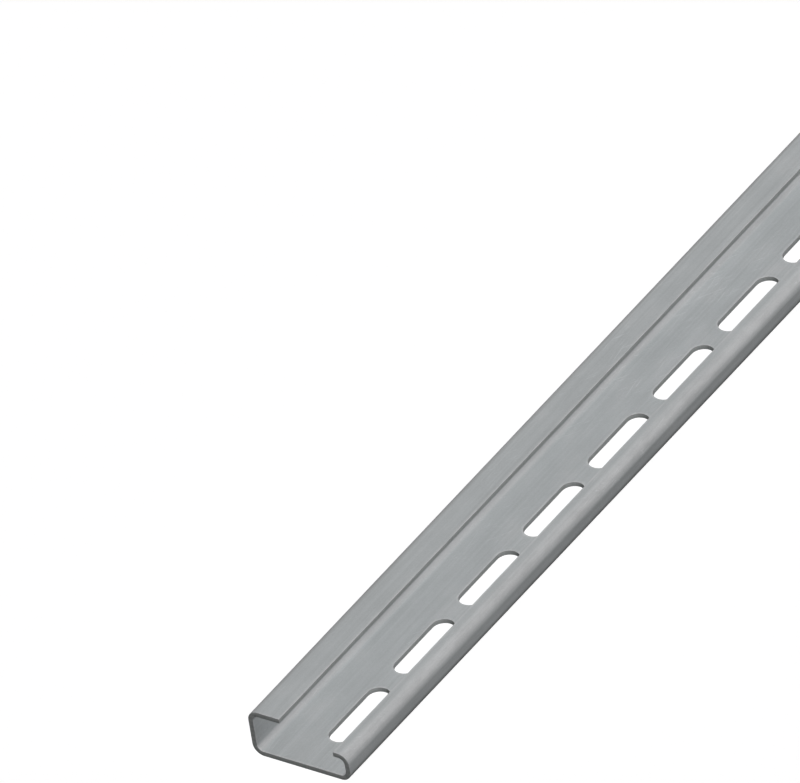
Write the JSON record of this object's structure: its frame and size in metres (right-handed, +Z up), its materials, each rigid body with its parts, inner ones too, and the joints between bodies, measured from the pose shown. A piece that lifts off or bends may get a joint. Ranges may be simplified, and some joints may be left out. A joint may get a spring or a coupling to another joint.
{
  "type": "mounting rail",
  "caption": "Slotted G-section steel mounting rail with a wide and a short inturned lip, for clipping terminals and small devices in a cabinet.",
  "frame": {"origin": "underside of the web, at the middle of the rail's width and length", "axes": "+X across the rail from the tall wall to the low wall, +Y along the rail, +Z up out of the mouth"},
  "size_m": [0.032, 1, 0.015],
  "materials": {
    "zinc_steel": "satin zinc-plated steel strip"
  },
  "bodies": {
    "root": {"mounting_rail": "zinc_steel"}
  },
  "joints": []
}
